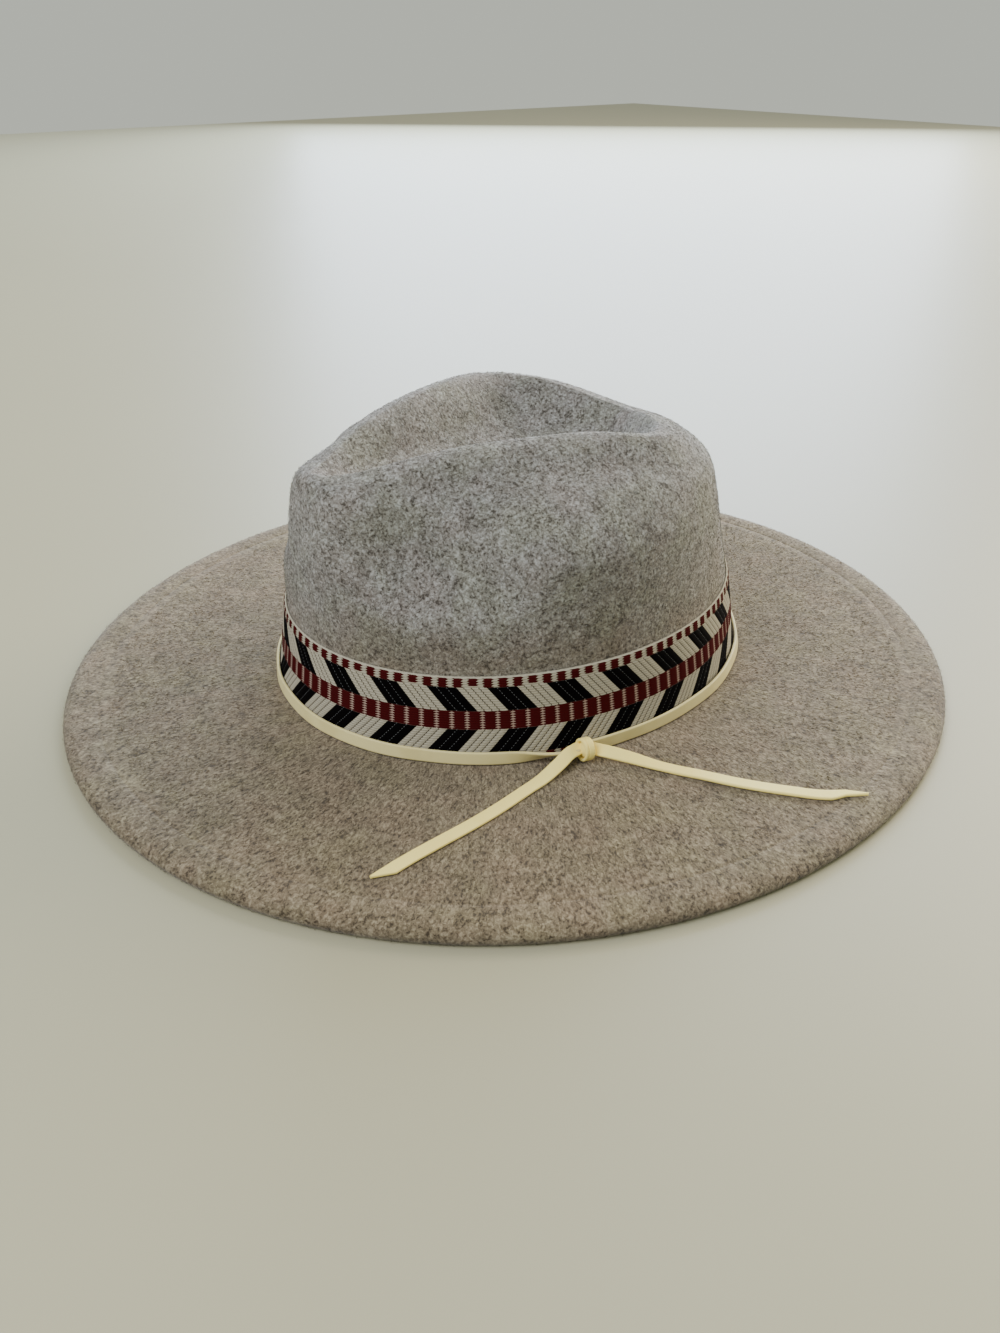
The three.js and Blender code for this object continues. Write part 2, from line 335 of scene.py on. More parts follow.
class Shader:
    """A material's nodes, with one call for each kind that the hat's finishes use."""

    def __init__(self, name: str) -> None:
        """Start a material with one plain surface shader.

        Args:
            name: The material's name.
        """
        self.material = bpy.data.materials.new(name)
        self.material.use_nodes = True
        self.tree = self.material.node_tree
        self.surface = self.tree.nodes["Principled BSDF"]

    def node(self, kind: str, inputs: dict[int | str, object] | None = None,
             **settings: object) -> bpy.types.Node:
        """Add a node.

        Args:
            kind: Its type.
            inputs: What its sockets are fed, by number or name.
            settings: Its properties.

        Returns:
            The node.
        """
        made = self.tree.nodes.new(kind)
        for key, value in settings.items():
            setattr(made, key, value)
        for key, source in (inputs or {}).items():
            self.feed(source, made.inputs[key])
        return made

    def feed(self, source: object, target: bpy.types.NodeSocket) -> None:
        """Link a socket, or set a plain value.

        Args:
            source: A socket or a plain value.
            target: The socket that it goes to.
        """
        if isinstance(source, bpy.types.NodeSocket):
            self.tree.links.new(source, target)
        else:
            target.default_value = source

    def set(self, **values: object) -> None:
        """Set sockets of the surface shader by name, with underscores for spaces."""
        for key, value in values.items():
            self.feed(value, self.surface.inputs[key.replace("_", " ")])

    def math(self, operation: str, first: object, second: object = 0.0) -> bpy.types.NodeSocket:
        """Work out one value from two."""
        return self.node("ShaderNodeMath", {0: first, 1: second}, operation=operation).outputs[0]

    def plus(self, first: object, second: object) -> bpy.types.NodeSocket:
        """Sum of two values."""
        return self.math("ADD", first, second)

    def minus(self, first: object, second: object) -> bpy.types.NodeSocket:
        """First value less the second."""
        return self.math("SUBTRACT", first, second)

    def times(self, first: object, second: object) -> bpy.types.NodeSocket:
        """Product of two values, which is 1 where both are 1."""
        return self.math("MULTIPLY", first, second)

    def size(self, value: object) -> bpy.types.NodeSocket:
        """Value without its sign."""
        return self.math("ABSOLUTE", value)

    def wrapped(self, value: object, size: float) -> bpy.types.NodeSocket:
        """What is left of a value over whole repeats, never below 0."""
        return self.math("FLOORED_MODULO", value, size)

    def above(self, value: object, edge: float, softness: float = 0.05) -> bpy.types.NodeSocket:
        """0 below an edge and 1 above it, with a soft change between.

        Args:
            value: The value.
            edge: The edge.
            softness: Half of the width of the change.

        Returns:
            The share.
        """
        ends = {"Value": value, "From Min": edge - softness, "From Max": edge + softness}
        return self.node("ShaderNodeMapRange", ends,
                         interpolation_type="SMOOTHSTEP").outputs["Result"]

    def below(self, value: object, edge: float, softness: float = 0.05) -> bpy.types.NodeSocket:
        """1 below an edge and 0 above it, with a soft change between."""
        return self.minus(1.0, self.above(value, edge, softness))

    def within(self, value: object, low: float, high: float,
               softness: float = 0.05) -> bpy.types.NodeSocket:
        """1 between two edges and 0 outside them, with soft changes."""
        return self.times(self.above(value, low, softness), self.below(value, high, softness))

    def blend(self, kind: str, share: object, first: object, second: object,
              **settings: object) -> bpy.types.NodeSocket:
        """Mix two values by a share of the second.

        Args:
            kind: Kind of the values, which is also the type of their sockets.
            share: Share of the second.
            first: First value.
            second: Second value.
            settings: Properties of the mixing node.

        Returns:
            The mixed value.
        """
        made = self.node("ShaderNodeMix", {"Factor": share}, data_type=kind, **settings)
        sockets = [entry for entry in made.inputs if entry.type == kind][-2:]
        for source, socket in zip((first, second), sockets):
            self.feed(source, socket)
        return [entry for entry in made.outputs if entry.type == kind][0]

    def mix(self, share: object, first: object, second: object,
            blend: str = "MIX") -> bpy.types.NodeSocket:
        """Mix two colours by a share of the second.

        Args:
            share: Share of the second.
            first: First colour, plain or a socket.
            second: Second colour.
            blend: Way of mixing.

        Returns:
            The colour.
        """
        colours = [entry if isinstance(entry, bpy.types.NodeSocket) else (*entry, 1.0)
                   for entry in (first, second)]
        return self.blend("RGBA", share, *colours, blend_type=blend)

    def place(self) -> bpy.types.NodeSocket:
        """Place on the piece, in metres."""
        return self.node("ShaderNodeTexCoord").outputs["Object"]

    def split(self, vector: bpy.types.NodeSocket) -> bpy.types.bpy_prop_collection:
        """The three parts of a vector."""
        return self.node("ShaderNodeSeparateXYZ", {0: vector}).outputs

    def noise(self, vector: bpy.types.NodeSocket, scale: float, detail: float = 2.0,
              roughness: float = 0.5, distortion: float = 0.0) -> bpy.types.NodeSocket:
        """Cloudy noise from 0 to 1.

        Args:
            vector: Coordinates.
            scale: How fine it is.
            detail: Layers of finer noise.
            roughness: Weight of each finer layer.
            distortion: How far it is bent.

        Returns:
            The noise.
        """
        inputs = {"Vector": vector, "Scale": scale, "Detail": detail, "Roughness": roughness,
                  "Distortion": distortion}
        return self.node("ShaderNodeTexNoise", inputs).outputs["Fac"]

    def ramp(self, value: object, stops: tuple[tuple[float, Colour], ...]) -> bpy.types.NodeSocket:
        """Colour that changes evenly through stops.

        Args:
            value: The value that the colour follows.
            stops: Values and their colours.

        Returns:
            The colour.
        """
        made = self.node("ShaderNodeValToRGB", {"Fac": value})
        steps = made.color_ramp.elements
        while len(steps) < len(stops):
            steps.new(0.5)
        for entry, (position, colour) in zip(steps, stops):
            entry.position = position
            entry.color = (*colour, 1.0)
        return made.outputs["Color"]

    def bump(self, height: bpy.types.NodeSocket, depth_mm: float, strength: float) -> None:
        """Give the surface a fine relief."""
        inputs = {"Strength": strength, "Distance": depth_mm * MM, "Height": height}
        self.set(Normal=self.node("ShaderNodeBump", inputs).outputs["Normal"])


@dataclass(frozen=True)
class WoolFelt:
    """Heathered wool felt: pale fibres with dark flecks, with painted light that makes it greyer
    and lighter on the crown and warmer on the brim, and painted shade on the rim.
    """

    name: str = "wool_felt"
    dark: Colour = (0.098, 0.077, 0.057)
    middle: Colour = (0.290, 0.246, 0.196)
    light: Colour = (0.410, 0.360, 0.298)
    pale: Colour = (0.640, 0.590, 0.510)
    # Painted light: one felt, tinted cooler and lighter for the light on the crown and warmer for
    # the light on the brim
    crown_painted_light_tint: Colour = (0.55, 0.595, 0.65)
    brim_painted_light_tint: Colour = (0.453, 0.406, 0.305)
    # Painted shade: the rolled edge of the brim is darker low down, near the floor
    rim_painted_shade: Colour = (0.62, 0.64, 0.66)
    mauve: Colour = (1.03, 0.985, 0.99)
    olive: Colour = (0.985, 1.005, 0.94)
    even: Colour = (1.0, 1.0, 1.0)
    fleck_scale: float = 960.0
    curl_scale: float = 403.2
    tuft_scale: float = 230.0
    cloud_scale: float = 38.0
    hue_scale: float = 62.0
    comb_radius: float = 0.17
    comb_stretch: float = 0.62
    comb_slope: float = 1.4
    comb_end: Span = (0.020, 0.004)
    painted_light_start: Span = (0.040, 0.030)
    painted_light_edge_clouds: float = 0.05
    rim_painted_shade_end: Span = (0.0034, 0.0022)
    grain_share: float = 0.56
    curl_share: float = 0.26
    tuft_share: float = 0.18
    relief: float = 0.34

    def combed(self, shader: Shader, place: bpy.types.NodeSocket) -> bpy.types.NodeSocket:
        """Coordinates for the flecks: drawn out along the brim's radius, even on the crown.

        Args:
            shader: The material.
            place: Place on the piece.

        Returns:
            The coordinates.
        """
        x, y, z = shader.split(place)
        radius = shader.math("SQRT", shader.plus(shader.times(x, x), shader.times(y, y)))
        radius = shader.math("MAXIMUM", radius, MM)
        around = [shader.times(shader.math("DIVIDE", part, radius), self.comb_radius)
                  for part in (x, y)]
        run = shader.minus(radius, shader.times(z, self.comb_slope))
        drawn = dict(enumerate((*around, shader.times(run, self.comb_stretch))))
        brim = shader.node("ShaderNodeCombineXYZ", drawn).outputs[0]
        return shader.blend("VECTOR", shader.above(z, *self.comb_end), brim, place)

    def tone_and_painted_light(self, shader: Shader, wool: bpy.types.NodeSocket) -> bpy.types.NodeSocket:
        """Wool coloured in soft clouds, with painted light by place: warm taupe on the brim,
        lighter grey up the crown, and painted shade low on the rim.

        Args:
            shader: The material.
            wool: The wool's own colour.

        Returns:
            The colour.
        """
        place = shader.place()
        height = shader.split(place)[2]
        cloud = shader.noise(place, self.cloud_scale, 3.0, 0.55, 0.3)
        hue = shader.noise(place, self.hue_scale, 2.0, 0.5, 0.2)
        lift = shader.plus(height, shader.times(shader.minus(cloud, 0.5), self.painted_light_edge_clouds))
        layers = (
            shader.ramp(cloud, ((0.30, (0.86, 0.86, 0.86)), (0.70, (1.12, 1.12, 1.12)))),
            shader.ramp(hue, ((0.32, self.mauve), (0.50, self.even), (0.66, self.olive))),
            # Painted light: the same felt turns from warm taupe on the brim to lighter, cooler
            # grey up the crown, for the colours of the light on each
            shader.mix(shader.above(lift, *self.painted_light_start), self.brim_painted_light_tint, self.crown_painted_light_tint),
            # Painted shade: the felt darkens low on the rolled edge of the brim
            shader.mix(shader.above(height, *self.rim_painted_shade_end), self.rim_painted_shade, self.even),
        )
        for layer in layers:
            wool = shader.mix(1.0, wool, layer, "MULTIPLY")
        return wool

    def material(self) -> bpy.types.Material:
        """Make the material.

        Returns:
            The material.
        """
        shader = Shader(self.name)
        flecks = self.combed(shader, shader.place())
        grain = shader.noise(flecks, self.fleck_scale, 3.0, 0.62, 0.6)
        curls = shader.noise(flecks, self.curl_scale, 2.0, 0.5, 1.6)
        tufts = shader.noise(flecks, self.tuft_scale, 2.0, 0.5, 0.8)
        tone = shader.plus(shader.times(grain, self.grain_share),
                           shader.times(curls, self.curl_share))
        tone = shader.plus(tone, shader.times(tufts, self.tuft_share))
        wool = shader.ramp(tone, ((0.40, self.dark), (0.462, self.middle), (0.526, self.light),
                                  (0.612, self.pale)))
        shader.set(Base_Color=self.tone_and_painted_light(shader, wool), Roughness=0.95,
                   Specular_IOR_Level=0.15, Sheen_Weight=0.2, Sheen_Roughness=0.6,
                   Sheen_Tint=(1.0, 0.97, 0.93, 1.0))
        shader.bump(tone, self.relief, 0.8)
        return shader.material


@dataclass(frozen=True)
class WoolFibre:
    """Loose wool fibres, each with its own tone from dark to pale."""

    felt: WoolFelt
    dark: Colour = (0.075, 0.058, 0.044)
    middle: Colour = (0.33, 0.282, 0.226)
    pale: Colour = (0.68, 0.625, 0.54)
    tone: str = "tone"

    def material(self) -> bpy.types.Material:
        """Make the material.

        Returns:
            The material.
        """
        shader = Shader("wool_fibre")
        tone = shader.node("ShaderNodeAttribute", attribute_name=self.tone).outputs["Fac"]
        wool = shader.ramp(tone, ((0.0, self.dark), (0.45, self.middle), (1.0, self.pale)))
        # The fibres carry the same painted light and painted shade as the felt
        shader.set(Base_Color=self.felt.tone_and_painted_light(shader, wool), Roughness=0.9,
                   Specular_IOR_Level=0.2)
        return shader.material


@dataclass(frozen=True)
class SmoothLace:
    """Smooth flat cream lace, shaded a little unevenly, with raw sides."""

    name: str = "cream_lace"
    cream: Colour = (1.0, 0.83, 0.255)
    shade: Colour = (0.97, 0.79, 0.23)
    cloud_scale: float = 75.0
    shade_start: Span = (0.52, 0.16)
    grain_scale: float = 420.0
    relief: float = 0.05

    def material(self) -> bpy.types.Material:
        """Make the material.

        Returns:
            The material.
        """
        shader = Shader(self.name)
        place = shader.place()
        cloud = shader.noise(place, self.cloud_scale, 2.0, 0.5, 0.4)
        share = shader.above(cloud, *self.shade_start)
        shader.set(Base_Color=shader.mix(share, self.cream, self.shade), Roughness=0.55,
                   Specular_IOR_Level=0.35, Sheen_Weight=0.1)
        shader.bump(shader.noise(place, self.grain_scale, 3.0, 0.6), self.relief, 0.5)
        return shader.material


@dataclass(frozen=True)
class ShelfTop:
    """Plain pale satin floor."""

    name: str = "shelf_top"
    colour: Colour = (0.41, 0.385, 0.255)
    cloud_scale: float = 3.0
    darkest: float = 0.96

    def material(self) -> bpy.types.Material:
        """Make the material.

        Returns:
            The material.
        """
        shader = Shader(self.name)
        cloud = shader.noise(shader.place(), self.cloud_scale)
        darker = tuple(self.darkest * part for part in self.colour)
        shader.set(Base_Color=shader.mix(cloud, darker, self.colour), Roughness=0.45)
        return shader.material


# Studio

class Lamp(NamedTuple):
    """One soft square lamp: where it hangs and its side in metres, its watts and its colour."""

    name: str
    place: Place
    size: float
    power: float
    colour: Colour


@dataclass
class Studio:
    """Camera at the photograph's angle, plain soft light and a plain pale floor."""

    camera_place: Place = (0.32203, -0.259155, 0.235339)
    camera_aim: Place = (0.009996, -0.014235, 0.0)
    focal_pixels: float = 1069.877
    frame_pixels: float = 1333.0
    sensor_mm: float = 36.0
    lamp_aim: Place = (0.0, 0.0, 0.05)
    lamps: tuple[Lamp, ...] = (
        Lamp("back_lamp", (0.10, 2.71, 1.03), 1.9, 129.0, (1.0, 0.91, 0.76)),
        Lamp("right_lamp", (-1.93, 1.90, 1.05), 1.9, 132.0, (0.70, 0.82, 1.0)),
        Lamp("front_lamp", (0.10, -1.28, 1.53), 1.2, 37.0, (0.86, 0.89, 1.0)),
    )
    floor_metres: float = 6.0
    sky_colour: Colour = (0.96, 1.0, 0.88)
    sky_strength: float = 0.575

    def aimed(self, place: Vector, aim: Vector) -> Matrix:
        """Placing of something that looks along its own -Z with its Y up.

        Args:
            place: Where it stands.
            aim: What it looks at.

        Returns:
            Its matrix.
        """
        ahead = (aim - place).normalized()
        right = ahead.cross(Vector(UP)).normalized()
        up = right.cross(ahead)
        placed = Matrix((right, up, -ahead)).transposed().to_4x4()
        placed.translation = place
        return placed

    def camera(self) -> None:
        """Set up the camera."""
        bpy.ops.object.camera_add()
        camera = bpy.context.object
        camera.name = "photo_camera"
        camera.data.sensor_width = self.sensor_mm
        camera.data.lens = self.focal_pixels * self.sensor_mm / self.frame_pixels
        camera.matrix_world = self.aimed(Vector(self.camera_place), Vector(self.camera_aim))
        bpy.context.scene.camera = camera

    def hang(self, lamp: Lamp) -> None:
        """Add one lamp that looks at the hat.

        Args:
            lamp: The lamp.
        """
        bpy.ops.object.light_add(type="AREA")
        light = bpy.context.object
        light.name = lamp.name
        light.data.size = lamp.size
        light.data.energy = lamp.power
        light.data.color = lamp.colour
        light.matrix_world = self.aimed(Vector(lamp.place), Vector(self.lamp_aim))

    def sky(self) -> None:
        """Set the even light from all round."""
        world = bpy.data.worlds.new("soft_sky")
        bpy.context.scene.world = world
        world.use_nodes = True
        background = world.node_tree.nodes["Background"]
        background.inputs["Color"].default_value = (*self.sky_colour, 1.0)
        background.inputs["Strength"].default_value = self.sky_strength

    def floor(self) -> None:
        """Lay the floor."""
        deselect()
        bpy.ops.mesh.primitive_plane_add(size=self.floor_metres)
        floor = bpy.context.object
        floor.name = "shelf"
        floor.data.materials.append(ShelfTop().material())

    def build(self) -> None:
        """Set up the whole studio."""
        self.camera()
        for lamp in self.lamps:
            self.hang(lamp)
        self.sky()
        self.floor()
        LOG.info("studio: camera, lamps and floor")


# Lace

class CutEnd(NamedTuple):
    """How far each side of a cut lace end runs past the end of its route."""

    left: float
    right: float


@dataclass
class LaceEnd:
    """One loose end of the lace, laid on the brim, with a slanted cut."""

    name: str
    node: str
    route: tuple[Place, ...]
    cut: CutEnd
    lay_length: float
    width: float = 5.0
    thickness: float = 1.2
    tip_width: float = 0.9
    tuck: float = 3.2
    roll: float = 0.0
    roll_end: Span = (4.0, 26.0)
    tip_turn: float = 0.0
    steps: int = 80
    cut_steps: int = 12
    line_points: int = 400

    def middle_line(self) -> np.ndarray:
        """Points close together along the route, in millimetres."""
        return open_curve(np.array(self.route), np.linspace(0.0, 1.0, self.line_points))

    def at(self, line: np.ndarray, lengths: np.ndarray) -> np.ndarray:
        """Points at given lengths along a line, which runs straight on past both ends.

        Args:
            line: Points close together.
            lengths: Lengths from its start.

        Returns:
            One row for each length.
        """
        run = run_lengths(line)
        points = np.stack([np.interp(lengths, run, line[:, axis]) for axis in range(3)], axis=1)
        turn = math.radians(self.tip_turn)
        ahead, behind = unit(line[-1] - line[-8]), unit(line[0] - line[8])
        ahead = ahead * math.cos(turn) + np.cross(UP, ahead) * math.sin(turn)
        return (points + np.maximum(lengths - run[-1], 0.0)[:, None] * ahead
                + np.maximum(-lengths, 0.0)[:, None] * behind)

    def build(self, material: bpy.types.Material) -> bpy.types.Object:
        """Args:
            material: The lace's finish.

        Returns:
            The finished piece.
        """
        line = self.middle_line()
        total = run_lengths(line)[-1]
        tip = total + max(self.cut.left, self.cut.right)
        shoulder = total + min(self.cut.left, self.cut.right)
        whole = np.linspace(-self.tuck, shoulder, self.steps)
        slanted = np.linspace(shoulder, tip, self.cut_steps + 1)[1:]
        lengths = np.concatenate([whole, slanted])
        middle = self.at(line, lengths)
        ahead = unit(np.gradient(middle, axis=0))
        left = unit(np.cross(UP, ahead))
        roll = np.radians(self.roll) * (1.0 - smooth_step(lengths, *self.roll_end))[:, None]
        left = left * np.cos(roll) + np.cross(ahead, left) * np.sin(roll)
        face = np.cross(ahead, left)
        gone = np.clip((lengths - shoulder) / (tip - shoulder), 0.0, 1.0)
        half = between(self.width / 2, self.tip_width / 2, gone)
        long_side = Side.LEFT if self.cut.left > self.cut.right else Side.RIGHT
        middle = middle + left * (long_side.value * (self.width / 2 - half))[:, None]
        rings = strip_rings(middle, left, face, half, self.thickness / 2)
        piece = skin(self.name, rings, caps=True, smooth_degrees=50.0)
        hand_over(piece, Slot.LACE, material, self.node)
        return piece


# Centre lines of the two loose ends, from the knot to the cut
LACE_REST = 6.3
FRONT_ROUTE = (
    (87.6, -40.2, 10.4), (88.1, -43.9, 10.4), (89.1, -49.6, 8.8), (90.0, -57.5, 6.8),
    (90.8, -65.0, LACE_REST), (91.8, -71.5, LACE_REST), (92.8, -78.0, LACE_REST),
    (93.6, -84.5, LACE_REST), (94.2, -91.0, LACE_REST), (94.6, -97.5, LACE_REST),
    (94.9, -104.0, LACE_REST), (95.2, -110.5, LACE_REST), (95.6, -117.0, LACE_REST),
    (96.2, -123.5, LACE_REST), (97.0, -129.5, LACE_REST),
)
BACK_ROUTE = (
    (91.6, -32.5, 9.4), (95.2, -30.4, 9.4), (101.8, -25.0, 8.0), (108.9, -20.1, 6.8),
    (115.8, -15.5, LACE_REST), (122.0, -11.5, LACE_REST), (128.0, -7.9, LACE_REST),
    (133.9, -4.3, LACE_REST), (139.3, -0.6, LACE_REST), (144.6, 3.3, LACE_REST),
    (149.6, 7.3, LACE_REST), (154.4, 11.1, LACE_REST), (158.6, 15.4, LACE_REST),
    (161.9, 20.0, LACE_REST),
)


# Felt

class CrestRow(NamedTuple):
    """Crest of the crown and the valley line under it, at one angle from the front."""

    across: float
    along: float
    height: float
    valley_along: float
    valley_height: float


class WallRow(NamedTuple):
    """Crown wall at one share of the way up to the crest."""

    rise: float
    nose_lean: float
    side_lean: float
    back_lean: float
    press: float


class DentRow(NamedTuple):
    """Teardrop dent: share of the way in to the valley line, and share of its depth."""

    toward: float
    sink: float


# One row for every 30 degrees from the front to the back, over the wearer's left
CREST = (
    CrestRow(0.0, -91.0, 101.5, -66.0, 96.0),
    CrestRow(10.0, -80.0, 102.0, -54.0, 93.5),
    CrestRow(26.0, -47.0, 108.5, -30.0, 88.5),
    CrestRow(43.0, -3.0, 109.5, 0.0, 84.5),
    CrestRow(53.0, 27.5, 106.0, 20.0, 84.0),
    CrestRow(33.0, 46.0, 104.0, 32.0, 85.5),
    CrestRow(0.0, 57.0, 99.0, 37.0, 87.0),
)
WALL = (
    WallRow(0.0, 0.0, 0.0, 0.0, 0.0),
    WallRow(0.26, 0.0, 0.0, 0.14, 0.05),
    WallRow(0.41, 0.01, 0.0, 0.21, 0.6),
    WallRow(0.57, 0.05, 0.03, 0.28, 1.0),
    WallRow(0.75, 0.2, 0.28, 0.36, 0.78),
    WallRow(0.88, 0.37, 0.68, 0.6, 0.34),
    WallRow(0.97, 0.65, 0.86, 0.84, 0.05),
    WallRow(1.0, 1.0, 1.0, 1.0, 0.0),
)
TEARDROP = (DentRow(0.09, 0.03), DentRow(0.23, 0.27), DentRow(0.4, 0.66), DentRow(0.65, 0.93),
            DentRow(1.0, 1.0))


@dataclass
class HatBlock:
    """Shape of the blocked felt, as loops of points round the hat."""

    around: int = 320
    brim_half_width: float = 178.0
    brim_half_length: float = 188.5
    thickness: float = 2.4
    edge_radius: float = 2.7
    edge_roll: float = 7.5
    edge_loops: int = 17
    bare_under: int = 4
    fold_rise: float = 0.6
    flat_loops: int = 26
    flat_share: float = 0.955
    turn_degrees: tuple[float, ...] = (0.0, 30.0, 60.0)
    seat_loops: int = 6
    crown_steps: int = 84
    welt_width: float = 13.5
    groove_half_width: float = 1.3
    groove_depth: float = 0.28
    break_radius: float = 1.2
    foot_half_width: float = 89.0
    foot_half_length: float = 101.8
    base_half_width: float = 82.5
    base_half_length: float = 97.3
    base_height: float = 40.0
    pinch_depth: float = 13.0
    pinch_angle: float = 38.0
    pinch_even: float = 6.0
    pinch_half: float = 30.0
    nose: Span = (15.0, 50.0)
    back: Span = (50.0, 165.0)
    waves: tuple[tuple[float, ...], ...] = (
        (52.0, 31.0, 18.0, 0.4), (-37.0, 44.0, 29.0, 1.9),
        (21.0, -63.0, 41.0, 3.1), (85.0, 22.0, -57.0, 4.4),
    )
    wave_height: float = 0.13
    wave_start: float = 15.0

    @property
    def brim_top(self) -> float:
        """Height of the brim's upper face."""
        return 2 * self.edge_radius

    @property
    def foot_height(self) -> float:
        """Height at which the crown leaves the brim."""
        return self.brim_top + self.break_radius

    def oval(self, half_width: float, half_length: float, height: float) -> np.ndarray:
        """Points all round an oval, from the front over the wearer's left.

        Args:
            half_width: Half its width.
            half_length: Half its length.
            height: Its height.

        Returns:
            One row of xyz for each point.
        """
        angle = np.linspace(0.0, 2 * np.pi, self.around, endpoint=False)
        return np.stack([half_width * np.sin(angle), -half_length * np.cos(angle),
                         np.full(self.around, height)], axis=1)

    def brim_oval(self, inset: float, height: float) -> np.ndarray:
        """Oval let in from the outside of the brim."""
        return self.oval(self.brim_half_width - inset, self.brim_half_length - inset, height)

    def seat_size(self, height: float) -> tuple[float, float]:
        """Half width and half length of the crown within the band's height.

        Args:
            height: Height of the place.

        Returns:
            Both halves.
        """
        share = (height - self.foot_height) / (self.base_height - self.foot_height)
        return (between(self.foot_half_width, self.base_half_width, share),
                between(self.foot_half_length, self.base_half_length, share))

    def seat_point(self, degrees: np.ndarray, height: np.ndarray,
                   offset: np.ndarray) -> np.ndarray:
        """Points round the crown within the band's height.

        Args:
            degrees: Angles from the front over the wearer's left.
            height: Heights.
            offset: How far the points stand off the felt.

        Returns:
            One row of xyz for each angle.
        """
        angle = np.radians(degrees)
        half_width, half_length = self.seat_size(np.asarray(height))
        return np.stack(np.broadcast_arrays((half_width + offset) * np.sin(angle),
                                            -(half_length + offset) * np.cos(angle),
                                            height), axis=-1)

    def crown(self, stations: int) -> np.ndarray:
        """Loops of the crown from the top of the band to the valley line.

        Args:
            stations: Number of steps up the crown.

        Returns:
            Points as (loop, place in the loop, xyz).
        """
        shares = np.arange(self.around) / self.around
        degrees = 360.0 * shares
        front = np.minimum(degrees, 360.0 - degrees)
        crest = np.array([(row.across, row.along, row.height) for row in CREST])
        valley = np.array([(0.0, row.valley_along, row.valley_height) for row in CREST])
        mirror = np.array((-1.0, 1.0, 1.0))
        top = closed_curve(np.vstack([crest, (crest * mirror)[1:-1][::-1]]), shares)
        low = closed_curve(np.vstack([valley, valley[1:-1][::-1]]), shares)
        foot = self.oval(self.base_half_width, self.base_half_length, self.base_height)
        outward = unit(foot * (self.base_half_length / self.base_half_width,
                               self.base_half_width / self.base_half_length, 0.0))
        nose = 1.0 - smooth_step(front, *self.nose)
        back = smooth_step(front, *self.back)
        off_middle = np.abs(front - self.pinch_angle)
        pinch = 1.0 - smooth_step(off_middle, self.pinch_even, self.pinch_half)
        pinch = self.pinch_depth * pinch
        rows = []
        for row in WALL:
            lean = between(between(row.side_lean, row.back_lean, back), row.nose_lean, nose)
            point = foot + (top - foot) * lean[:, None]
            point[:, 2] = between(foot[:, 2], top[:, 2], row.rise)
            rows.append(point - outward * (pinch * row.press)[:, None])
        for row in TEARDROP:
            point = top + (low - top) * row.toward
            point[:, 2] = between(top[:, 2], low[:, 2], row.sink)
            rows.append(point)
        return open_curve(np.array(rows), np.linspace(0.0, 1.0, stations + 1))

    def edge(self) -> np.ndarray:
        """Loops of the folded edge, from under it to the brim's upper face.

        Returns:
            Points as (loop, place in the loop, xyz).
        """
        turn = np.radians(np.linspace(-90.0, 90.0, self.edge_loops))
        return np.array([self.brim_oval((self.edge_radius if angle < 0.0 else self.edge_roll)
                                        * (1.0 - math.cos(angle)),
                                        self.edge_radius * (1.0 + math.sin(angle)))
                         for angle in turn])

    def groove(self) -> np.ndarray:
        """Loops of the soft groove along the inner edge of the fold.

        Returns:
            Points as (loop, place in the loop, xyz).
        """
        rows = [(-1.0, 0.0), (-0.6, 0.35), (-0.25, 0.9), (0.25, 0.9), (0.6, 0.35), (1.0, 0.0)]
        return np.array([self.brim_oval(self.welt_width + self.groove_half_width * place,
                                        self.brim_top - self.groove_depth * depth)
                         for place, depth in rows])

    def flat(self) -> np.ndarray:
        """Loops of the flat of the brim.

        Returns:
            Points as (loop, place in the loop, xyz).
        """
        start = self.welt_width + 3 * self.groove_half_width
        return np.array([self.oval(
            between(self.brim_half_width - start, self.foot_half_width, share),
            between(self.brim_half_length - start, self.foot_half_length, share),
            self.brim_top) for share in np.linspace(0.0, self.flat_share, self.flat_loops)])

    def turn(self) -> np.ndarray:
        """Loops of the turn from the brim up into the crown, and of the band's seat.

        Returns:
            Points as (loop, place in the loop, xyz).
        """
        rows = []
        for degrees in self.turn_degrees:
            angle = math.radians(degrees)
            reach = self.break_radius * (1.0 - math.sin(angle))
            rows.append(self.oval(self.foot_half_width + reach, self.foot_half_length + reach,
                                  self.brim_top + self.break_radius * (1.0 - math.cos(angle))))
        for height in np.linspace(self.foot_height, self.base_height, self.seat_loops + 1)[:-1]:
            rows.append(self.oval(*self.seat_size(height), height))
        return np.array(rows)

    def outside(self) -> np.ndarray:
        """Loops of the upper side, from the groove to the valley line."""
        return np.concatenate([self.flat(), self.turn(), self.crown(self.crown_steps)])

    def relaxed(self, loops: np.ndarray, normals: np.ndarray) -> np.ndarray:
        """Give the crown the slight unevenness of hand-blocked felt.

        Args:
            loops: Points of the upper side.
            normals: Its normals.

        Returns:
            The moved points.
        """
        size = np.zeros(loops.shape[:2])
        for *turns, phase in self.waves:
            size += np.sin(loops @ (np.array(turns) * MM) + phase)
        share = smooth_step(loops[:, :, 2], self.base_height, self.base_height + self.wave_start)
        return loops + normals * (self.wave_height * size * share)[:, :, None]


